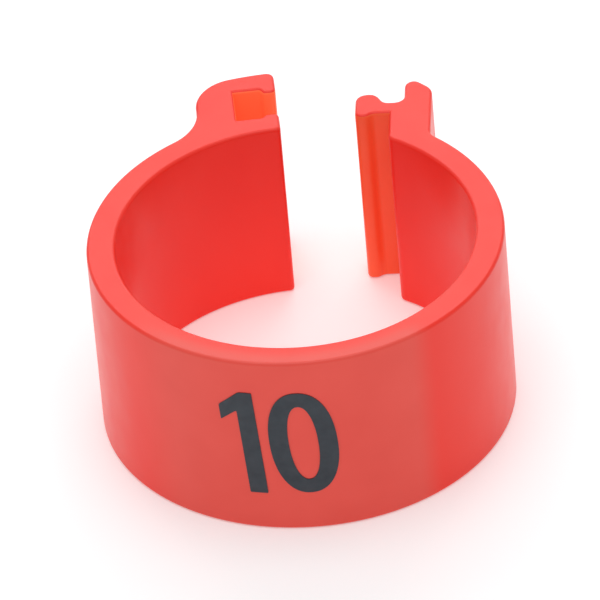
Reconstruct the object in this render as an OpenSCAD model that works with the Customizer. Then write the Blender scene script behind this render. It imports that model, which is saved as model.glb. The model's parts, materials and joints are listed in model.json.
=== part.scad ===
// Clip-on leg band for poultry: a springy open ring with a bulbed tongue that snaps into a slotted socket.
// The band stands on its lower rim. Z is the axis of the leg, the number faces -Y, and the gap faces +Y.
// The ring bends all round, so each side is a chain of wall pieces with round flex knuckles between them.

/* [Band] */
// Inside diameter of the band as moulded
bore_d = 20; // [18:0.5:24]
// Wall thickness
wall_t = 1.6; // [1.4:0.1:1.8]
// Height of the band along the leg
band_h = 11.5; // [9:0.5:16]
// Clearance left in each flex knuckle
flex_gap = 0.03; // [0.02:0.01:0.05]

/* [Socket] */
// Thickness of the socket head from the bore to its back
head_t = 5.5; // [5.3:0.1:5.8]
// Width of the slot's mouth, across the wall
mouth_w = 2; // [1.98:0.02:2.1]
// Length of the slot's mouth
mouth_l = 0.7; // [0.6:0.05:0.85]
// Width of the slot's inner chamber, across the wall
chamber_w = 2.65; // [2.6:0.05:2.8]
// Depth of the slot from the end face to the back of the chamber
slot_depth = 2.4; // [2.35:0.05:2.6]

/* [Tongue] */
// Thickness of the tongue's neck
neck_t = 1.03; // [0.8:0.01:1.1]
// Diameter of the bulb that snaps into the chamber
bulb_d = 1.9; // [1.7:0.05:1.9]
// Length of the tongue from its root to its tip
tongue_l = 1.95; // [1.85:0.05:2]
// Height of the thumb lug above the bore
lug_h = 5.4; // [5.2:0.1:5.6]
// Width of the thumb lug
lug_w = 1.56; // [1.5:0.02:1.8]

/* [Number] */
// Height of the printed digits
digit_h = 6.9; // [5:0.1:8]
// Width of the zero along the curved wall
digit_w = 3.75; // [3.5:0.05:4.4]
// Width of the printed strokes
stroke_w = 1; // [0.8:0.05:1.2]
// Thickness of the printed ink
ink_t = 0.06; // [0.04:0.01:0.1]

/* [Hidden] */
$fn = 96;
bore_r = bore_d / 2;
outer_r = bore_r + wall_t;
mid_r = bore_r + wall_t / 2;
head_r = bore_r + head_t;

// directions around the ring, in degrees: from +X for the ends, from the front centre for the knuckles
socket_a = 100.6;
step_a = 64.5;
clasp_a = 94;
flex_at = [25, 55, 85, 115];

// socket shoulder: a round corner that runs into a hollow foot
corner_r = 2.4;
corner_turn = 9.6;
foot_r = 3.2;
corner_a = socket_a + corner_turn;
corner_c_r = head_r - corner_r;
foot_c_r = outer_r + foot_r;
foot_a = corner_a + acos((corner_c_r ^ 2 + foot_c_r ^ 2 - (corner_r + foot_r) ^ 2) / (2 * corner_c_r * foot_c_r));
rim_r = 0.5;

// slot, measured from the inner corner of the socket's end face
inner_catch_v = 1.58;
chamber_v = 1.3;
outer_catch_v = inner_catch_v + mouth_w;
chamber_top_v = chamber_v + chamber_w;
cheek_root_v = sqrt(head_r ^ 2 - slot_depth ^ 2) - bore_r;
cheek_hinge_v = (chamber_top_v + cheek_root_v) / 2;
cheek_knuckle_r = (cheek_root_v - chamber_top_v) / 2;

// tongue and thumb lug, measured from the inner corner of the step that the tongue grows from
neck_v = 2.4;
neck_mid_v = neck_v + neck_t / 2;
bulb_u = -1.22;
bulb_v = 3.32;
split_u = -0.75;
bulb_back_u = -0.55;
lug_u = 0.8;
lug_foot_r = 0.7;
lug_root_r = 0.6;
lug_tip_r = 0.5;
lug_back_r = 0.95;
lug_fall = 0.25;

// moulding gate left on the bore
gate_r = 0.5;
gate_h = 0.2;
gate_z = band_h - 0.9;

// the number sits a little above the middle of the band
digit_gap = 0.54;
flag_w = 1;
flag_drop = 1;
one_w = flag_w + stroke_w;
number_w = one_w + digit_gap + digit_w;
digit_lift = 0.25;
digit_z = (band_h - digit_h) / 2 + digit_lift;

// overlap that outlines are joined with, in mm or degrees
lap = 1;
plastic = [0.87, 0.17, 0.12];
ink = [0.25, 0.28, 0.32];

function polar(r, a) = [r * cos(a), r * sin(a)];

// a ring sector between two directions, as a flat outline
module sector(r0, r1, a0, a1) {
    far = 3 * r1;
    intersection() {
        difference() {
            circle(r1, $fn = 180);
            circle(r0, $fn = 180);
        }
        polygon([[0, 0], polar(far, a0), polar(far, (a0 + a1) / 2), polar(far, a1)]);
    }
}

// places a shape at the socket's end face: +X leaves the slot, +Y points away from the leg
module at_socket() {
    translate(polar(bore_r, socket_a)) rotate(socket_a - 90) children();
}

// places a shape at the step on the other end: +X runs back into the wall, +Y points away from the leg
module at_clasp() {
    translate(polar(bore_r, step_a)) rotate(clasp_a - 90) children();
}

// one stretch of the right-hand wall: a hollow seat at its front end and a round nose at its back end
module wall_outline(phi0, phi1, seat = true, nose = true) {
    difference() {
        union() {
            sector(bore_r, outer_r, phi0 - 90, phi1 - 90);
            if (nose) translate(polar(mid_r, phi1 - 90)) circle(wall_t / 2);
        }
        if (seat) translate(polar(mid_r, phi0 - 90)) circle(wall_t / 2 + flex_gap);
    }
}

module right_wall(i) {
    end = i < len(flex_at) - 1 ? flex_at[i + 1] : lug_foot_a() + 90;
    color(plastic) linear_extrude(band_h)
        wall_outline(flex_at[i], end, nose = i < len(flex_at) - 1);
}

module left_wall(i) {
    end = i < len(flex_at) - 1 ? flex_at[i + 1] : 270 - foot_a;
    color(plastic) linear_extrude(band_h) mirror([1, 0])
        wall_outline(flex_at[i], end, nose = i < len(flex_at) - 1);
}

module number_panel() {
    color(plastic) linear_extrude(band_h) {
        sector(bore_r, outer_r, -90 - flex_at[0], -90 + flex_at[0]);
        for (side = [-1, 1]) translate(polar(mid_r, -90 + side * flex_at[0])) circle(wall_t / 2);
    }
}

// the whole head before the slot splits it into cheeks
module head_outline() {
    corner = polar(corner_c_r, corner_a);
    foot = polar(foot_c_r, foot_a);
    difference() {
        sector(bore_r, head_r, socket_a, corner_a);
        at_socket() translate([-rim_r, head_t - rim_r]) difference() {
            square(2 * rim_r);
            circle(rim_r);
        }
    }
    translate(corner) circle(corner_r);
    difference() {
        polygon([polar(mid_r, corner_a - lap), corner, foot, polar(mid_r, foot_a)]);
        translate(foot) circle(foot_r);
    }
    sector(bore_r, outer_r, corner_a - lap, foot_a);
}

module socket_shoulder() {
    color(plastic) linear_extrude(band_h) {
        intersection() {
            head_outline();
            at_socket() translate([-slot_depth - head_r, -head_r]) square([head_r, 2 * head_r]);
        }
        at_socket() translate([-slot_depth, cheek_hinge_v]) circle(cheek_knuckle_r);
    }
}

module inner_cheek() {
    color(plastic) linear_extrude(band_h) intersection() {
        head_outline();
        at_socket() translate([-slot_depth, -lap]) square([slot_depth, lap + chamber_v]);
    }
}

module inner_catch() {
    rise = inner_catch_v - chamber_v;
    color(plastic) linear_extrude(band_h) at_socket()
        polygon([[-mouth_l - rise, chamber_v], [0, chamber_v], [0, inner_catch_v], [-mouth_l, inner_catch_v]]);
}

module outer_cheek() {
    color(plastic) linear_extrude(band_h) difference() {
        intersection() {
            head_outline();
            at_socket() translate([-slot_depth, chamber_top_v]) square([slot_depth, head_t]);
        }
        at_socket() translate([-slot_depth, cheek_hinge_v]) circle(cheek_knuckle_r + flex_gap);
    }
}

module outer_catch() {
    drop = chamber_top_v - outer_catch_v;
    color(plastic) linear_extrude(band_h) at_socket()
        polygon([
            [-mouth_l - drop / 2, chamber_top_v], [-mouth_l, outer_catch_v],
            [0, outer_catch_v], [0, chamber_top_v]
        ]);
}

// centre of the ring as seen from the clasp's frame
function ring_centre() = -bore_r * [cos(step_a - clasp_a + 90), sin(step_a - clasp_a + 90)];
// centre of the hollow fillet behind the lug, in the clasp's frame
function lug_foot() =
    let (u = lug_u + lug_w + lug_foot_r, c = ring_centre())
    [u, c[1] + sqrt((outer_r + lug_foot_r) ^ 2 - (u - c[0]) ^ 2)];
// direction of that fillet from the ring's centre
function lug_foot_a() =
    let (d = lug_foot() - ring_centre())
    atan2(d[1], d[0]) + clasp_a - 90;

// the straight flank that touches two round corners
module flank(c0, r0, c1, r1) {
    d = c1 - c0;
    turn = atan2(d[1], d[0]) - acos((r0 - r1) / norm(d));
    polygon([c0 - polar(r0 / 2, turn), c0 + polar(r0, turn), c1 + polar(r1, turn), c1 - polar(r1 / 2, turn)]);
}

// extrudes each child outline by itself to the height of the band
module bars() {
    for (i = [0 : $children - 1]) linear_extrude(band_h) children(i);
}

module lug_body() {
    back_u = lug_u + lug_w;
    tip = [lug_u + lug_tip_r, lug_h - lug_tip_r];
    back = [back_u - lug_back_r, lug_h - lug_back_r - lug_fall];
    root_v = neck_v + neck_t;
    foot = lug_foot();
    bars() {
        translate(tip) circle(lug_tip_r);
        translate(back) circle(lug_back_r);
        flank(back, lug_back_r, tip, lug_tip_r);
        polygon([[lug_u, -lap], [lug_u, tip[1]], tip, back, [back_u, back[1]], [back_u, -lap]]);
        polygon([[0, 0], [0, root_v], [lug_u + lug_root_r, root_v], [lug_u + lug_root_r, -lap], [lug_u, -lap]]);
        difference() {
            translate([lug_u - lug_root_r, root_v - lug_root_r]) square(2 * lug_root_r);
            translate([lug_u - lug_root_r, root_v + lug_root_r]) circle(lug_root_r);
        }
        difference() {
            polygon([
                [back_u - lug_foot_r, -lap], [back_u - lug_foot_r, foot[1]], foot,
                ring_centre() + mid_r / (outer_r + lug_foot_r) * (foot - ring_centre())
            ]);
            translate(foot) circle(lug_foot_r);
        }
        translate([0, neck_mid_v]) circle(neck_t / 2);
    }
}

module thumb_lug() {
    color(plastic) intersection() {
        union() {
            at_clasp() lug_body();
            bars() sector(bore_r - lap, outer_r, lug_foot_a() - lap, step_a - lap);
        }
        bars() sector(bore_r, 2 * head_r, lug_foot_a(), 90);
    }
}

module bulb_outline() {
    intersection() {
        translate([bulb_u, bulb_v]) circle(bulb_d / 2);
        translate([-tongue_l, 0]) square([tongue_l + bulb_back_u, head_t]);
    }
}

module tongue_neck() {
    color(plastic) linear_extrude(band_h) at_clasp() difference() {
        union() {
            translate([split_u, neck_v]) square([-split_u, neck_t]);
            intersection() {
                bulb_outline();
                translate([split_u, 0]) square([-split_u, head_t]);
            }
        }
        translate([0, neck_mid_v]) circle(neck_t / 2 + flex_gap);
    }
}

module tongue_bulb() {
    color(plastic) linear_extrude(band_h) at_clasp() intersection() {
        bulb_outline();
        translate([-2 * tongue_l, 0]) square([2 * tongue_l + split_u, head_t]);
    }
}

module gate_mark() {
    color(plastic) intersection() {
        translate([0, -mid_r, gate_z]) rotate([-90, 0, 0]) cylinder(h = wall_t / 2 + gate_h, r = gate_r);
        cylinder(h = band_h, r = bore_r, $fn = 180);
    }
}

// wraps a flat outline, drawn about its own centre, onto the outside of the wall
module printed(x) {
    color(ink) intersection() {
        rotate(x / outer_r * 180 / PI) translate([0, -mid_r, digit_z]) rotate([90, 0, 0])
            linear_extrude(wall_t) children();
        difference() {
            cylinder(h = band_h, r = outer_r + ink_t, $fn = 180);
            translate([0, 0, -lap]) cylinder(h = band_h + 2 * lap, r = outer_r, $fn = 180);
        }
    }
}

// one closed stroke of the given width and height, standing on the digit's base line
module loop(w, h) {
    difference() {
        union() {
            for (y = [w / 2, h - w / 2]) translate([0, y]) circle(w / 2);
            translate([-w / 2, w / 2]) square([w, h - w]);
        }
        for (y = [w / 2, h - w / 2]) translate([0, y]) circle(w / 2 - stroke_w);
        translate([stroke_w - w / 2, w / 2]) square([w - 2 * stroke_w, h - w]);
    }
}

// a plain stem with a sloping flag, standing on the digit's base line
module stem(w, h) {
    stem_x = w / 2 - stroke_w;
    polygon([
        [stem_x, 0], [w / 2, 0], [w / 2, h], [stem_x + stroke_w / 4, h],
        [-w / 2, h - flag_drop], [-w / 2, h - flag_drop - stroke_w], [stem_x, h - stroke_w - flag_drop / 4]
    ]);
}

module printed_digit_1() {
    printed((one_w - number_w) / 2) stem(one_w, digit_h);
}

module printed_digit_0() {
    printed((number_w - digit_w) / 2) loop(digit_w, digit_h);
}

number_panel();
left_wall(0);  // left_wall_1
left_wall(1);  // left_wall_2
left_wall(2);  // left_wall_3
left_wall(3);  // left_wall_4
right_wall(0);  // right_wall_1
right_wall(1);  // right_wall_2
right_wall(2);  // right_wall_3
right_wall(3);  // right_wall_4
socket_shoulder();
inner_cheek();
inner_catch();
outer_cheek();
outer_catch();
thumb_lug();
tongue_neck();
tongue_bulb();
gate_mark();
printed_digit_1();
printed_digit_0();
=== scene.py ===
"""Looks of the clip-on leg band.

It is one red moulding, modelled as skins laid where the CAD's flex knuckles and other parts
are.
"""

import json
import math

import bmesh
import bpy
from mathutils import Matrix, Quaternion, Vector


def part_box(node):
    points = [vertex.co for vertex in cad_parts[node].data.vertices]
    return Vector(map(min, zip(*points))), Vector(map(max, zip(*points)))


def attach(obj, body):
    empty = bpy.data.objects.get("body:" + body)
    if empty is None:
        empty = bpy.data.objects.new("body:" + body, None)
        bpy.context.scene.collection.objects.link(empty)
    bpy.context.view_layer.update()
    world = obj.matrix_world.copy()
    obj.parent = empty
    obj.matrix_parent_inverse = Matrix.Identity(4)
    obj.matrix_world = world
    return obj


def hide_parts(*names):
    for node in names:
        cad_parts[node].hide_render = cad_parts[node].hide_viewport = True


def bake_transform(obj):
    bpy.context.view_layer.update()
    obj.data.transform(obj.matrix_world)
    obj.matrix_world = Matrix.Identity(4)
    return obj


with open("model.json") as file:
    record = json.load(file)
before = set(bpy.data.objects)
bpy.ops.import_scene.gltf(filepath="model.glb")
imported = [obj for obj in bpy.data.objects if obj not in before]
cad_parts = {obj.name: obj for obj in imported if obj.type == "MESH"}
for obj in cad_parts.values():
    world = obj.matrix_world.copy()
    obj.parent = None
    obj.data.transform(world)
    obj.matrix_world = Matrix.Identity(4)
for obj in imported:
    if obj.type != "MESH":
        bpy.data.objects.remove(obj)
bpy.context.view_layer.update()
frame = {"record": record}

MM = 0.001

# ---------------------------------------------------------------- sizes of the ring
# In mm and degrees, as in the CAD source. Names end in _R for a radius, _A for a direction,
# _C for a centre and _T for how far from a corner its rounding starts.
mounts = {m["name"]: m for m in frame["record"]["mounts"]}
BORE_R = mounts["leg_bore"]["dims"]["r_mm"]
BAND_H = mounts["leg_bore"]["dims"]["length_mm"]
OUTER_R = -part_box("number_panel")[0].y / MM
HEAD_DEPTH = 5.5
HEAD_R = BORE_R + HEAD_DEPTH
FRONT_A = -90.0
SOCKET_A = 100.6  # the socket's face
STEP_A = 64.5  # where the step that carries the tongue meets the bore
CLASP_A = 94.0  # the step's face runs outward in this direction

EDGE_R = 0.2  # rounding of the upper and lower rims
EDGE_STEPS = 5
CORNER_T = 0.3
CORNER_STEPS = 6
PANEL_HALF = 10.0  # half the angle of the rigid front, between the first two bends
FLEX = (25.0, 55.0, 85.0, 115.0)  # the hinges, counted from the front to either side
BEND_HALF = 15.0
END_A = FLEX[-1] + BEND_HALF
ARC_STEP = 8.0  # degrees between the points of an arc of radius 1, within these limits:
FINEST_STEP, COARSEST_STEP = 1.0, 12.0


def polar(r, a, centre=(0.0, 0.0)):
    a = math.radians(a)
    return centre[0] + r * math.cos(a), centre[1] + r * math.sin(a)


def direction(start, end):
    return math.degrees(math.atan2(end[1] - start[1], end[0] - start[0]))


def arc(centre, r, a0, a1):
    """Points on an arc from direction a0 to a1, both included, closer on a wider arc."""
    step = min(COARSEST_STEP, max(FINEST_STEP, ARC_STEP / r))
    n = max(2, math.ceil(abs(a1 - a0) / step))
    return [polar(r, a0 + (a1 - a0) * i / n, centre) for i in range(n + 1)]


def placed(points, origin, v_direction):
    """Takes points from a local frame (u, v), with v in this direction, to the band's frame."""
    turn = math.radians(v_direction - 90)
    c, s = math.cos(turn), math.sin(turn)
    return [(origin[0] + u * c - v * s, origin[1] + u * s + v * c) for u, v in points]


def at_socket(points):
    return placed(points, polar(BORE_R, SOCKET_A), SOCKET_A)


def at_clasp(points):
    return placed(points, polar(BORE_R, STEP_A), CLASP_A)


# ---------------------------------------------------------------- outlines and moulded skins
SAME_POINT = 1e-5
SLACK = 1e-9
SHARP_TURN = 40.0  # edges that turn more than this stay sharp
NORMAL_WEIGHT = 100


class Outline:
    """A closed outline, counterclockwise.

    A corner may be rounded, and an edge may be a cut that a neighbour continues.
    """

    def __init__(self):
        self.points = []
        self.reach = []
        self.cut = []

    def add(self, points, rounded=0.0, cut=False):
        """Adds points. The last may be a rounded corner, and the edge after it a cut."""
        for p in points:
            if self.points and math.dist(p, self.points[-1]) < SAME_POINT:
                for values in (self.points, self.reach, self.cut):
                    values.pop()
            self.points.append(p)
            self.reach.append(0.0)
            self.cut.append(False)
        self.reach[-1] = rounded
        self.cut[-1] = cut

    def walk(self, i, distance, way):
        """The point this far along the outline from corner i, and the last corner passed."""
        n = len(self.points)
        while True:
            a, b = self.points[i % n], self.points[(i + way) % n]
            length = math.dist(a, b)
            if length >= distance - SLACK:
                t = distance / length
                return (a[0] + (b[0] - a[0]) * t, a[1] + (b[1] - a[1]) * t), i
            distance -= length
            i += way

    def finished(self):
        """[(point, whether the edge after it is a cut)] with the corners rounded."""
        n = len(self.points)
        out, dropped, rounds = [], set(), {}
        for i in range(n):
            if self.reach[i]:
                before, first = self.walk(i, self.reach[i], -1)
                after, last = self.walk(i, self.reach[i], 1)
                rounds[i] = (before, after)
                dropped |= {j % n for j in range(first, last + 1)}
        for i in range(n):
            if i in rounds:
                (ax, ay), (bx, by) = rounds[i]
                cx, cy = self.points[i]
                for k in range(CORNER_STEPS + 1):
                    t = k / CORNER_STEPS
                    p, q, r = (1 - t) ** 2, 2 * t * (1 - t), t * t
                    out.append(((p * ax + q * cx + r * bx, p * ay + q * cy + r * by), False))
            elif i not in dropped:
                out.append((self.points[i], self.cut[i]))
        return out


def inward(a, b):
    """Unit normal to the left of the way from a to b: into a counterclockwise outline."""
    length = math.dist(a, b)
    return -(b[1] - a[1]) / length, (b[0] - a[0]) / length


def insets(corners):
    """How far each corner moves for an inset of 1. A corner on a cut slides along the cut."""
    out = []
    for i, (p, cut_after) in enumerate(corners):
        before, cut_before = corners[i - 1]
        after = corners[(i + 1) % len(corners)][0]
        (ax, ay), (bx, by) = inward(before, p), inward(p, after)
        if cut_before and cut_after:
            out.append((0.0, 0.0))
        elif cut_before or cut_after:
            other, (nx, ny) = (before, (bx, by)) if cut_before else (after, (ax, ay))
            dx, dy = other[0] - p[0], other[1] - p[1]
            share = dx * nx + dy * ny
            out.append((dx / share, dy / share))
        else:
            scale = 1 / (1 + ax * bx + ay * by)
            out.append(((ax + bx) * scale, (ay + by) * scale))
    return out


def moulded(name, outline):
    """A closed mesh of the outline, from the lower to the upper rim, with rounded rims."""
    corners = outline.finished()
    moves = insets(corners)
    low_levels = []
    for k in range(EDGE_STEPS + 1):
        turn = math.radians(90 * k / EDGE_STEPS)
        low_levels.append((EDGE_R * (1 - math.sin(turn)), EDGE_R * (1 - math.cos(turn))))
    levels = low_levels + [(inset, BAND_H - z) for inset, z in reversed(low_levels)]
    bm = bmesh.new()
    rows = []
    for inset, z in levels:
        rows.append([
            bm.verts.new(((p[0] + m[0] * inset) * MM, (p[1] + m[1] * inset) * MM, z * MM))
            for (p, _), m in zip(corners, moves)
        ])
    n = len(corners)
    for low, high in zip(rows, rows[1:]):
        for i in range(n):
            j = (i + 1) % n
            bm.faces.new((low[i], low[j], high[j], high[i]))
    bm.faces.new(list(reversed(rows[0])))
    bm.faces.new(rows[-1])
    return finished_mesh(name, bm)


def finished_mesh(name, bm, sharp=SHARP_TURN):
    """An object of this mesh, shaded smooth but for its sharp edges."""
    bmesh.ops.recalc_face_normals(bm, faces=bm.faces[:])
    mesh = bpy.data.meshes.new(name)
    bm.to_mesh(mesh)
    bm.free()
    for polygon in mesh.polygons:
        polygon.use_smooth = True
    mesh.set_sharp_from_angle(angle=math.radians(sharp))
    piece = bpy.data.objects.new(name, mesh)
    bpy.context.scene.collection.objects.link(piece)
    normals = piece.modifiers.new("even_normals", "WEIGHTED_NORMAL")
    normals.keep_sharp = True
    normals.weight = NORMAL_WEIGHT
    return piece


def wall(a0, a1):
    """A stretch of plain wall between two directions, cut at both ends."""
    path = Outline()
    path.add(arc((0, 0), OUTER_R, a0, a1), cut=True)
    path.add(arc((0, 0), BORE_R, a1, a0), cut=True)
    return path


# ---------------------------------------------------------------- the socket's end
# Its frame starts at the bore: u runs out of the socket's face, v outward along the face.
SLOT_DEPTH = 2.4
MOUTH_L = 0.7
MOUTH_W = 2.0
INNER_CATCH_V = 1.58
OUTER_CATCH_V = INNER_CATCH_V + MOUTH_W
CHAMBER_V = 1.3
CHAMBER_W = 2.65
CHAMBER_TOP_V = CHAMBER_V + CHAMBER_W
CATCH_T = 0.12
CHAMBER_T = 0.15
CORNER_R = 2.4  # the head's round outer corner
CORNER_TURN = 9.6  # its centre lies this far round from the face
CORNER_A = SOCKET_A + CORNER_TURN
CORNER_C = polar(HEAD_R - CORNER_R, CORNER_A)
FOOT_R = 3.2  # the hollow where the head's back runs into the wall
FACE_T = 0.5
CHEEK_CUT_A = SOCKET_A + 45  # the cut that parts the outer cheek from the head


def shoulder_foot():
    """Direction of the hollow foot that touches both the wall and the round corner."""
    near, far = HEAD_R - CORNER_R, OUTER_R + FOOT_R
    cosine = (near ** 2 + far ** 2 - (CORNER_R + FOOT_R) ** 2) / (2 * near * far)
    return CORNER_A + math.degrees(math.acos(cosine))


FOOT_A = shoulder_foot()
FOOT_C = polar(OUTER_R + FOOT_R, FOOT_A)


def cheek_cut():
    """Where the cut from the chamber's far corner meets the round corner, and its direction."""
    start, = at_socket([(-SLOT_DEPTH, CHAMBER_TOP_V)])
    way = polar(1, CHEEK_CUT_A)
    rel = (start[0] - CORNER_C[0], start[1] - CORNER_C[1])
    b = rel[0] * way[0] + rel[1] * way[1]
    t = -b + math.sqrt(b * b - rel[0] ** 2 - rel[1] ** 2 + CORNER_R ** 2)
    end = (start[0] + t * way[0], start[1] + t * way[1])
    return end, direction(CORNER_C, end)


def socket_outline():
    cut_point, cut_a = cheek_cut()
    touch_a = direction(CORNER_C, FOOT_C) % 360
    catch_end_u = -MOUTH_L - (INNER_CATCH_V - CHAMBER_V)
    path = Outline()
    path.add(arc((0, 0), BORE_R, 270 - END_A, SOCKET_A), rounded=CORNER_T)
    path.add(at_socket([(0, INNER_CATCH_V)]), rounded=CORNER_T)
    path.add(at_socket([(-MOUTH_L, INNER_CATCH_V)]), rounded=CATCH_T)
    path.add(at_socket([(catch_end_u, CHAMBER_V)]), rounded=CATCH_T)
    path.add(at_socket([(-SLOT_DEPTH, CHAMBER_V)]), rounded=CHAMBER_T)
    path.add(at_socket([(-SLOT_DEPTH, CHAMBER_TOP_V)]), cut=True)
    path.add([cut_point])
    path.add(arc(CORNER_C, CORNER_R, cut_a, touch_a)[1:])
    path.add(arc(FOOT_C, FOOT_R, touch_a - 180, FOOT_A - 180))
    path.add(arc((0, 0), OUTER_R, FOOT_A, 270 - END_A)[1:], cut=True)
    return path


def outer_cheek_outline():
    cut_point, cut_a = cheek_cut()
    catch_end_u = -MOUTH_L - (CHAMBER_TOP_V - OUTER_CATCH_V) / 2
    face_a = SOCKET_A + math.degrees(FACE_T / HEAD_R)
    path = Outline()
    path.add(at_socket([(-SLOT_DEPTH, CHAMBER_TOP_V)]))
    path.add(at_socket([(catch_end_u, CHAMBER_TOP_V)]), rounded=CATCH_T)
    path.add(at_socket([(-MOUTH_L, OUTER_CATCH_V)]), rounded=CATCH_T)
    path.add(at_socket([(0, OUTER_CATCH_V)]), rounded=CORNER_T)
    path.add(at_socket([(0, HEAD_DEPTH)]), rounded=FACE_T)
    path.add(arc((0, 0), HEAD_R, face_a, CORNER_A))
    path.add(arc(CORNER_C, CORNER_R, CORNER_A, cut_a)[1:], cut=True)
    return path


# ---------------------------------------------------------------- the tongue's end
# Its frame starts where the step meets the bore: u runs away from the gap, v outward.
NECK_V = 2.4
NECK_W = 1.03
ROOT_V = NECK_V + NECK_W
TONGUE_L = 1.95
BULB = (-1.22, 3.32)
BULB_R = 0.95
BULB_BACK_U = -0.35  # the bulb's sloped back runs from the neck here
BULB_BACK_A = 60.0  # to this direction round the bulb
BULB_UNDER_V = 2.14  # the bulb also stands a little proud of the neck's inner face
BULB_UNDER_U = (-1.3, -0.98)
BACK_NEAR_T = 0.3
BACK_FAR_T = 0.25
TIP_T = 0.42
UNDER_T = 0.18
TONGUE_CUT_U = 0.2  # the tongue's skin starts this far inside the step
TONGUE_CUT_RISE = 0.2
LUG_U = 0.8
LUG_W = 1.56
LUG_BACK_U = LUG_U + LUG_W
LUG_H = 5.4
LUG_FOOT_R = 0.7
LUG_ROOT_R = 0.6
LUG_TIP_R = 0.5
LUG_BACK_R = 0.95
LUG_FALL = 0.25  # the lug's top is this much lower at its back


def lug_foot():
    """Centre of the hollow behind the lug, in the clasp's frame, and its direction."""
    ring_c = polar(-BORE_R, STEP_A - CLASP_A + 90)
    u = LUG_BACK_U + LUG_FOOT_R
    v = ring_c[1] + math.sqrt((OUTER_R + LUG_FOOT_R) ** 2 - (u - ring_c[0]) ** 2)
    return (u, v), direction(ring_c, (u, v)) + CLASP_A - 90


def lug_outline():
    foot, foot_a = lug_foot()
    tip = (LUG_U + LUG_TIP_R, LUG_H - LUG_TIP_R)
    back = (LUG_BACK_U - LUG_BACK_R, LUG_H - LUG_BACK_R - LUG_FALL)
    root = (LUG_U - LUG_ROOT_R, ROOT_V + LUG_ROOT_R)
    slope = math.degrees(math.acos((LUG_BACK_R - LUG_TIP_R) / math.dist(tip, back)))
    top_a = direction(back, tip) - slope
    path = Outline()
    path.add(arc((0, 0), OUTER_R, END_A - 90, foot_a))
    path.add(at_clasp(arc(foot, LUG_FOOT_R, foot_a - CLASP_A + 270, 180))[1:])
    path.add(at_clasp(arc(back, LUG_BACK_R, 0, top_a)))
    path.add(at_clasp(arc(tip, LUG_TIP_R, top_a, 180)))
    path.add(at_clasp(arc(root, LUG_ROOT_R, 0, -90)))
    path.add(at_clasp([(TONGUE_CUT_U, ROOT_V)]), cut=True)
    path.add(at_clasp([(TONGUE_CUT_U, NECK_V + TONGUE_CUT_RISE)]), cut=True)
    path.add(at_clasp([(0, NECK_V)]))
    path.add(at_clasp([(0, 0)]), rounded=CORNER_T)
    path.add(arc((0, 0), BORE_R, STEP_A, END_A - 90)[1:], cut=True)
    return path


def tongue_outline():
    tip_half = math.sqrt(BULB_R ** 2 - (TONGUE_L + BULB[0]) ** 2)
    tip_a = math.degrees(math.atan2(tip_half, -TONGUE_L - BULB[0]))
    under_far, under_near = BULB_UNDER_U
    path = Outline()
    path.add(at_clasp([(TONGUE_CUT_U, ROOT_V)]))
    path.add(at_clasp([(BULB_BACK_U, ROOT_V)]), rounded=BACK_NEAR_T)
    path.add(at_clasp([polar(BULB_R, BULB_BACK_A, BULB)]), rounded=BACK_FAR_T)
    path.add(at_clasp(arc(BULB, BULB_R, BULB_BACK_A, tip_a))[1:], rounded=CORNER_T)
    path.add(at_clasp([(-TONGUE_L, BULB_UNDER_V)]), rounded=TIP_T)
    path.add(at_clasp([(under_far, BULB_UNDER_V)]), rounded=UNDER_T)
    path.add(at_clasp([(under_near, NECK_V)]), rounded=UNDER_T)
    path.add(at_clasp([(0, NECK_V)]), cut=True)
    path.add(at_clasp([(TONGUE_CUT_U, NECK_V + TONGUE_CUT_RISE)]), cut=True)
    return path


# ---------------------------------------------------------------- the printed number
DIGIT_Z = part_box("printed_digit_0")[0].z / MM
DIGIT_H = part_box("printed_digit_0")[1].z / MM - DIGIT_Z
STROKE = 1.0
ZERO_X = 1.27
ZERO_HALF = 1.87
ZERO_POWER = 2.25  # 2 would be an ellipse
HOLE_SIDE = 1.06
HOLE_TOP = 0.92
HOLE_POWER = 2.2
HOLE_POINTS = 56
ONE_X = -2.15
ONE_HALF = 1.0
FLAG_DROP = 1.0
INK_CORNER_T = 0.08
FLAG_T = 0.15
PRINT_LEAN = 3.0  # the figures lean back a little
PRINT_TURN = 1.0  # and the whole print is slightly askew
INK_THICK = 0.055
INK_SUNK = 0.01  # the print's underside lies this deep in the wall
INK_SHARP_TURN = 30.0
LONGEST_EDGE = 0.7  # longer edges inside a figure are split, so that it follows the wall
SPLITS = 3


def superellipse(half_w, half_h, power, middle_y, n=72):
    out = []
    for i in range(n):
        t = 2 * math.pi * i / n
        c, s = math.cos(t), math.sin(t)
        x = half_w * math.copysign(abs(c) ** (2 / power), c)
        y = half_h * math.copysign(abs(s) ** (2 / power), s)
        out.append((x, y + middle_y))
    return out


def zero_outlines():
    """A plain oval and its hole."""
    half_h = DIGIT_H / 2
    outer = superellipse(ZERO_HALF, half_h, ZERO_POWER, half_h)
    hole = superellipse(
        ZERO_HALF - HOLE_SIDE, half_h - HOLE_TOP, HOLE_POWER, half_h, HOLE_POINTS
    )
    return [outer, hole]


def one_outline():
    """A plain stem with a sloping flag."""
    left = ONE_HALF - STROKE
    path = Outline()
    path.add([(left, 0)], rounded=INK_CORNER_T)
    path.add([(ONE_HALF, 0)], rounded=INK_CORNER_T)
    path.add([(ONE_HALF, DIGIT_H)], rounded=INK_CORNER_T)
    path.add([(left + STROKE / 4, DIGIT_H)], rounded=FLAG_T)
    path.add([(-ONE_HALF, DIGIT_H - FLAG_DROP)], rounded=INK_CORNER_T)
    path.add([(-ONE_HALF, DIGIT_H - FLAG_DROP - STROKE)], rounded=INK_CORNER_T)
    path.add([(left, DIGIT_H - STROKE - FLAG_DROP / 4)], rounded=FLAG_T)
    return [point for point, _ in path.finished()]


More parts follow.
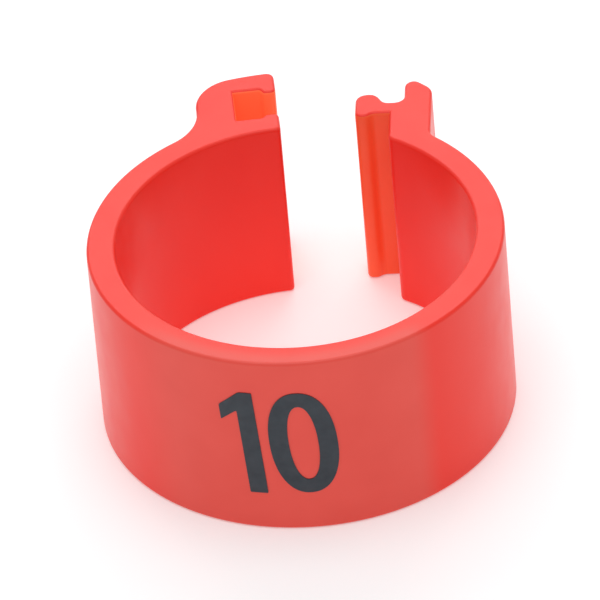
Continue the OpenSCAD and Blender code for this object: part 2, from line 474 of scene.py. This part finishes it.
def on_wall(co, middle):
    """Takes a point of a flat figure to the wall, with the print's lean and turn."""
    turn = math.radians(PRINT_TURN)
    up = co.y - DIGIT_H / 2
    along = co.x + middle - up * math.tan(math.radians(PRINT_LEAN))
    rise = up * math.cos(turn) + along * math.sin(turn)
    a = FRONT_A + math.degrees((along * math.cos(turn) - up * math.sin(turn)) / OUTER_R)
    x, y = polar(OUTER_R - INK_SUNK + co.z, a)
    return Vector((x * MM, y * MM, (DIGIT_Z + DIGIT_H / 2 + rise) * MM))


def digit(name, loops, middle):
    """A figure bounded by loops, meshed finely and wrapped on the wall, as thick as the ink."""
    bm = bmesh.new()
    edges = []
    for loop in loops:
        verts = [bm.verts.new((x, y, 0)) for x, y in loop]
        edges += [bm.edges.new((verts[i - 1], verts[i])) for i in range(len(verts))]
    bmesh.ops.triangle_fill(bm, use_beauty=True, use_dissolve=False, edges=edges)
    bm.normal_update()
    bm.faces.ensure_lookup_table()
    if bm.faces[0].normal.z < 0:
        bmesh.ops.reverse_faces(bm, faces=bm.faces[:])
    for _ in range(SPLITS):
        long = [e for e in bm.edges if e.calc_length() > LONGEST_EDGE and not e.is_boundary]
        bmesh.ops.subdivide_edges(bm, edges=long, cuts=1, use_grid_fill=False)
        bmesh.ops.triangulate(bm, faces=[f for f in bm.faces if len(f.verts) > 3])
    made = bmesh.ops.extrude_face_region(bm, geom=bm.faces[:])
    for v in made["geom"]:
        if isinstance(v, bmesh.types.BMVert):
            v.co.z = INK_THICK
    for v in bm.verts:
        v.co = on_wall(v.co, middle)
    return finished_mesh(name, bm, INK_SHARP_TURN)


# ---------------------------------------------------------------- materials
RED = ((0.95, 0.036, 0.022), (0.98, 0.046, 0.028))
PAINTED_SHEEN_RED = ((0.86, 0.080, 0.058), (0.90, 0.092, 0.068))  # painted sheen over the number panel: a paler red standing in for a broad reflection of light from the front
# Painted glow: the tongue and the walls of the socket's slot get a more orange red and some
# emission, standing in for light let through the thin plastic
TONGUE_PAINTED_GLOW_RED = ((0.97, 0.13, 0.045), (0.99, 0.16, 0.06))
SLOT_PAINTED_GLOW_RED = ((0.98, 0.16, 0.06), (0.99, 0.19, 0.075))
TONGUE_GLOW = 0.07
SLOT_GLOW = 0.22
INK_BLACK = ((0.020, 0.028, 0.038), (0.032, 0.042, 0.054))
PLASTIC_ROUGHNESS = (0.285, 0.35)  # smoother plastic shows dark specks along the rims
INK_ROUGHNESS = (0.42, 0.55)
PLASTIC_IOR = 1.37
INK_IOR = 1.45
PLASTIC_BUMP = 0.00005
INK_BUMP = 0.000008
BUMP_STRENGTH = 0.5
NOISE_LOW, NOISE_HIGH = 0.3, 0.7  # nearly all of a noise lies between these
TONES_AT = (0.25, 0.75)  # a noise's values at which the two tones are pure
INK_TONES_AT = (0.3, 0.75)
# Noises: scale, detail and, where it isn't even, stretch
RED_TONES = (260, 3.0, (1, 1, 0.6))
RED_SHEEN = (520, 2.0)
RED_TEXTURE = (330, 2.0, (1, 1, 0.5))
PAINTED_SHEEN_TONES = (310, 2.0)
INK_TONES = (1500, 2.0)
INK_SHEEN = (1800, 1.0)
INK_TEXTURE = (1900, 1.0)
PANEL_RIGHT = (47, 38)  # directions from the front at which the painted sheen starts and is full
PANEL_LEFT = (-48, -28)
PANEL_DEPTH = (BORE_R + 0.2, OUTER_R - 0.3)


def node_tree(name):
    material = bpy.data.materials.new(name)
    material.use_nodes = True
    tree = material.node_tree
    return material, tree, tree.nodes["Principled BSDF"]


def noise(tree, scale, detail, stretch=(1, 1, 1)):
    coords = tree.nodes.new("ShaderNodeTexCoord")
    mapping = tree.nodes.new("ShaderNodeMapping")
    mapping.inputs["Scale"].default_value = stretch
    texture = tree.nodes.new("ShaderNodeTexNoise")
    texture.inputs["Scale"].default_value = scale
    texture.inputs["Detail"].default_value = detail
    tree.links.new(coords.outputs["Object"], mapping.inputs["Vector"])
    tree.links.new(mapping.outputs["Vector"], texture.inputs["Vector"])
    return texture.outputs["Fac"]


def ramp(tree, value, positions, colours):
    node = tree.nodes.new("ShaderNodeValToRGB")
    for element, position, colour in zip(node.color_ramp.elements, positions, colours):
        element.position = position
        element.color = (*colour, 1)
    tree.links.new(value, node.inputs["Fac"])
    return node.outputs["Color"]


def spread(tree, value, limits):
    """A noise brought to these limits."""
    node = tree.nodes.new("ShaderNodeMapRange")
    node.inputs["From Min"].default_value = NOISE_LOW
    node.inputs["From Max"].default_value = NOISE_HIGH
    node.inputs["To Min"].default_value, node.inputs["To Max"].default_value = limits
    tree.links.new(value, node.inputs["Value"])
    return node.outputs["Result"]


def bump(tree, shader, height, distance):
    node = tree.nodes.new("ShaderNodeBump")
    node.inputs["Distance"].default_value = distance
    node.inputs["Strength"].default_value = BUMP_STRENGTH
    tree.links.new(height, node.inputs["Height"])
    tree.links.new(node.outputs["Normal"], shader.inputs["Normal"])


def math_node(tree, operation, a, b=None):
    node = tree.nodes.new("ShaderNodeMath")
    node.operation = operation
    for socket, value in zip(node.inputs, (a, b)):
        if isinstance(value, float):
            socket.default_value = value
        elif value is not None:
            tree.links.new(value, socket)
    return node.outputs["Value"]


def fade(tree, value, none_at, full_at):
    """0 at one value and 1 at the other, with a soft change between."""
    node = tree.nodes.new("ShaderNodeMapRange")
    node.interpolation_type = "SMOOTHSTEP"
    node.inputs["From Min"].default_value = none_at
    node.inputs["From Max"].default_value = full_at
    tree.links.new(value, node.inputs["Value"])
    return node.outputs["Result"]


def painted_sheen_mask(tree):
    """Mask of the painted sheen: 1 on the outside of the front, where the number is, and on its
    rims, and 0 elsewhere.
    """
    coords = tree.nodes.new("ShaderNodeTexCoord")
    xyz = tree.nodes.new("ShaderNodeSeparateXYZ")
    tree.links.new(coords.outputs["Object"], xyz.inputs["Vector"])
    x, y = xyz.outputs["X"], xyz.outputs["Y"]
    angle = math_node(tree, "ARCTAN2", x, math_node(tree, "MULTIPLY", y, -1.0))
    x_square = math_node(tree, "MULTIPLY", x, x)
    y_square = math_node(tree, "MULTIPLY", y, y)
    radius = math_node(tree, "SQRT", math_node(tree, "ADD", x_square, y_square))
    right = fade(tree, angle, *map(math.radians, PANEL_RIGHT))
    left = fade(tree, angle, *map(math.radians, PANEL_LEFT))
    outside = fade(tree, radius, *(r * MM for r in PANEL_DEPTH))
    return math_node(tree, "MULTIPLY", math_node(tree, "MULTIPLY", left, right), outside)


def mixed(tree, share, a, b):
    node = tree.nodes.new("ShaderNodeMix")
    node.data_type = "RGBA"
    tree.links.new(share, node.inputs["Factor"])
    tree.links.new(a, node.inputs[6])  # the colours' sockets share their names with others
    tree.links.new(b, node.inputs[7])
    return node.outputs[2]


def plastic_material(name, tones, painted_sheen=None, painted_glow=0.0):
    """Glossy moulded plastic between two tones.

    A painted sheen lightens the number panel, standing in for reflected light, and a painted
    glow stands in for the light let through thin plastic.
    """
    material, tree, shader = node_tree(name)
    colour = ramp(tree, noise(tree, *RED_TONES), TONES_AT, tones)
    # painted sheen: a paler red mixed over the front, standing in for a reflection of light
    # from the front
    if painted_sheen:
        panel = ramp(tree, noise(tree, *PAINTED_SHEEN_TONES), TONES_AT, painted_sheen)
        colour = mixed(tree, painted_sheen_mask(tree), colour, panel)
    roughness = spread(tree, noise(tree, *RED_SHEEN), PLASTIC_ROUGHNESS)
    tree.links.new(colour, shader.inputs["Base Color"])
    tree.links.new(roughness, shader.inputs["Roughness"])
    bump(tree, shader, noise(tree, *RED_TEXTURE), PLASTIC_BUMP)
    shader.inputs["IOR"].default_value = PLASTIC_IOR
    # painted glow: emission in the plastic's lighter tone
    shader.inputs["Emission Color"].default_value = (*tones[1], 1)
    shader.inputs["Emission Strength"].default_value = painted_glow
    return material


def ink_material():
    material, tree, shader = node_tree("dark_ink")
    colour = ramp(tree, noise(tree, *INK_TONES), INK_TONES_AT, INK_BLACK)
    roughness = spread(tree, noise(tree, *INK_SHEEN), INK_ROUGHNESS)
    tree.links.new(colour, shader.inputs["Base Color"])
    tree.links.new(roughness, shader.inputs["Roughness"])
    bump(tree, shader, noise(tree, *INK_TEXTURE), INK_BUMP)
    shader.inputs["IOR"].default_value = INK_IOR
    return material


# the band's plastic carries the painted sheen over the number panel
PLASTIC = plastic_material("red_plastic", RED, painted_sheen=PAINTED_SHEEN_RED)
# painted glow materials for the thin tongue and the slot's walls
TONGUE_GLOW_PLASTIC = plastic_material("red_plastic_thin_painted_glow", TONGUE_PAINTED_GLOW_RED, painted_glow=TONGUE_GLOW)
SLOT_GLOW_PLASTIC = plastic_material("red_plastic_slot_painted_glow", SLOT_PAINTED_GLOW_RED, painted_glow=SLOT_GLOW)
INK = ink_material()


def dress(piece, material, slot, *replaced):
    piece.data.materials.append(material)
    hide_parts(*replaced)
    return piece


def moulded_piece(name, outline, *replaced):
    return dress(moulded(name, outline), PLASTIC, "band_plastic", *replaced)


def painted_glow_faces(piece, material, centre, reach):
    """Gives upright faces within reach of the centre a painted glow, standing in for light let
    through thin plastic.
    """
    piece.data.materials.append(material)
    for face in piece.data.polygons:
        middle = face.center.xy / MM
        if abs(face.normal.z) < UPRIGHT and (middle - Vector(centre)).length < reach:
            face.material_index = 1


# ---------------------------------------------------------------- the band
CHAINS = {
    "right": ["front", "right_1", "right_2", "right_3", "right_end"],
    "left": ["front", "left_1", "left_2", "left_3", "left_end"],
}
WAY = {"right": 1, "left": -1}
CHAMBER_MIDDLE = (-1.1, CHAMBER_V + CHAMBER_W / 2)
CHAMBER_REACH = 2.05  # upright faces this near get the painted glow
TONGUE_REACH = 3.0
UPRIGHT = 0.5  # an upright face's normal rises less than this


panel_wall = wall(FRONT_A - PANEL_HALF, FRONT_A + PANEL_HALF)
front = moulded_piece("band_front", panel_wall, "number_panel")
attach(front, "front")

for side, bodies in CHAINS.items():
    for i, flex in enumerate(FLEX):
        middle_a = FRONT_A + WAY[side] * flex
        stretch = wall(middle_a - BEND_HALF, middle_a + BEND_HALF)
        piece = moulded_piece(f"band_{side}_{i + 1}", stretch, f"{side}_wall_{i + 1}")
        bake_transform(piece)

chamber_middle, = at_socket([CHAMBER_MIDDLE])
socket = moulded_piece(
    "socket_head", socket_outline(), "socket_shoulder", "inner_cheek", "inner_catch"
)
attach(socket, "left_end")
painted_glow_faces(socket, SLOT_GLOW_PLASTIC, chamber_middle, CHAMBER_REACH)
cheek = moulded_piece(
    "socket_outer_cheek", outer_cheek_outline(), "outer_cheek", "outer_catch"
)
painted_glow_faces(cheek, SLOT_GLOW_PLASTIC, chamber_middle, CHAMBER_REACH)
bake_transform(cheek)

lug = moulded_piece("thumb_lug_end", lug_outline(), "thumb_lug")
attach(lug, "right_end")
tongue = moulded_piece("clasp_tongue", tongue_outline(), "tongue_neck", "tongue_bulb")
painted_glow_faces(tongue, TONGUE_GLOW_PLASTIC, at_clasp([BULB])[0], TONGUE_REACH)
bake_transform(tongue)

# ---------------------------------------------------------------- number and gate mark
zero = digit("number_zero", zero_outlines(), ZERO_X)
dress(zero, INK, "number_ink", "printed_digit_0")
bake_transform(zero)
one = digit("number_one", [one_outline()], ONE_X)
dress(one, INK, "number_ink", "printed_digit_1")
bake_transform(one)

GATE_SIDES = 40
GATE_TORN = 0.6  # inside this share of its radius the disc is torn
GATE_PROFILE = (  # share of the radius, height above the bore
    (1.0, -0.12), (0.96, 0.03), (0.86, 0.075), (0.62, 0.09),
    (0.5, 0.12), (0.44, 0.17), (0.3, 0.185), (0.0, 0.19),
)


def gate_nub():
    """The broken-off gate on the bore: a low disc with a torn middle."""
    low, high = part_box("gate_mark")
    radius, middle_z = (high.x - low.x) / 2, (low.z + high.z) / 2
    bm = bmesh.new()
    rows = []
    for share, height in GATE_PROFILE:
        y = (-BORE_R + height) * MM
        if share == 0:
            rows.append([bm.verts.new((0, y, middle_z))])
            continue
        row = []
        for i in range(GATE_SIDES):
            a = 2 * math.pi * i / GATE_SIDES
            torn = 1 + 0.07 * math.sin(3 * a + 1) + 0.05 * math.sin(7 * a)
            r = radius * share * (torn if share < GATE_TORN else 1)
            row.append(bm.verts.new((r * math.cos(a), y, middle_z + r * math.sin(a))))
        rows.append(row)
    for a, b in zip(rows, rows[1:]):
        for i in range(GATE_SIDES):
            j = (i + 1) % GATE_SIDES
            bm.faces.new((a[i], a[j], b[0]) if len(b) == 1 else (a[i], a[j], b[j], b[i]))
    bm.faces.new(list(reversed(rows[0])))
    return finished_mesh("gate_nub", bm)


gate = dress(gate_nub(), PLASTIC, "band_plastic", "gate_mark")
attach(gate, "front")

# ---------------------------------------------------------------- floor, light and camera
# In metres, but for the camera's place and aim in mm.
FLOOR_HALF = 1.5
FLOOR_Z = -0.00001
FLOOR_GREY = 0.88
FLOOR_ROUGHNESS = 0.9
FLOOR_GLOW = 0.25
SKY_COLOUR = (0.97, 0.985, 1.0)
SKY_STRENGTH = 0.5
LIGHT_AIM = Vector((0.0, 0.0, 0.006))
LIGHT_POWER = 1.4
CAMERA_PLACE = Vector((67.1, -424.0, 334.8)) * MM
LOOK_AT = Vector((-0.26, 1.3, 5.97)) * MM
ROLL = math.radians(-5.1)
LENS = 583.5
SENSOR = 36
CLIP = (0.01, 10)

floor_mesh = bpy.data.meshes.new("floor")
floor_corners = [
    (x * FLOOR_HALF, y * FLOOR_HALF, 0) for x, y in ((-1, -1), (1, -1), (1, 1), (-1, 1))
]
floor_mesh.from_pydata(floor_corners, [], [(0, 1, 2, 3)])
floor = bpy.data.objects.new("floor", floor_mesh)
floor.location.z = FLOOR_Z
bpy.context.scene.collection.objects.link(floor)
paper, _, paper_shader = node_tree("white_paper")
paper_shader.inputs["Base Color"].default_value = (FLOOR_GREY, FLOOR_GREY, FLOOR_GREY, 1)
paper_shader.inputs["Roughness"].default_value = FLOOR_ROUGHNESS
paper_shader.inputs["Emission Color"].default_value = (1, 1, 1, 1)
paper_shader.inputs["Emission Strength"].default_value = FLOOR_GLOW
floor_mesh.materials.append(paper)

world = bpy.data.worlds.new("studio")
bpy.context.scene.world = world
world.use_nodes = True
sky = world.node_tree.nodes["Background"]
sky.inputs["Color"].default_value = (*SKY_COLOUR, 1)
sky.inputs["Strength"].default_value = SKY_STRENGTH


def area_light(name, place, size):
    data = bpy.data.lights.new(name, "AREA")
    data.shape = "RECTANGLE"
    data.size, data.size_y = size
    data.energy = LIGHT_POWER
    light = bpy.data.objects.new(name, data)
    bpy.context.scene.collection.objects.link(light)
    light.location = place
    light.rotation_mode = "QUATERNION"
    light.rotation_quaternion = (LIGHT_AIM - Vector(place)).to_track_quat("-Z", "Y")


area_light("top_box", (0.0, -0.05, 0.60), (0.5, 0.5))
area_light("back_box", (-0.075, 0.47, 0.37), (0.6, 0.4))

camera_data = bpy.data.cameras.new("camera")
camera = bpy.data.objects.new("camera", camera_data)
bpy.context.scene.collection.objects.link(camera)
bpy.context.scene.camera = camera
look = (LOOK_AT - CAMERA_PLACE).to_track_quat("-Z", "Y")
camera.location = CAMERA_PLACE
camera.rotation_mode = "QUATERNION"
camera.rotation_quaternion = look @ Quaternion((0, 0, 1), ROLL)
camera_data.lens = LENS
camera_data.sensor_width = SENSOR
camera_data.clip_start, camera_data.clip_end = CLIP

bpy.context.scene.view_settings.view_transform = "Standard"
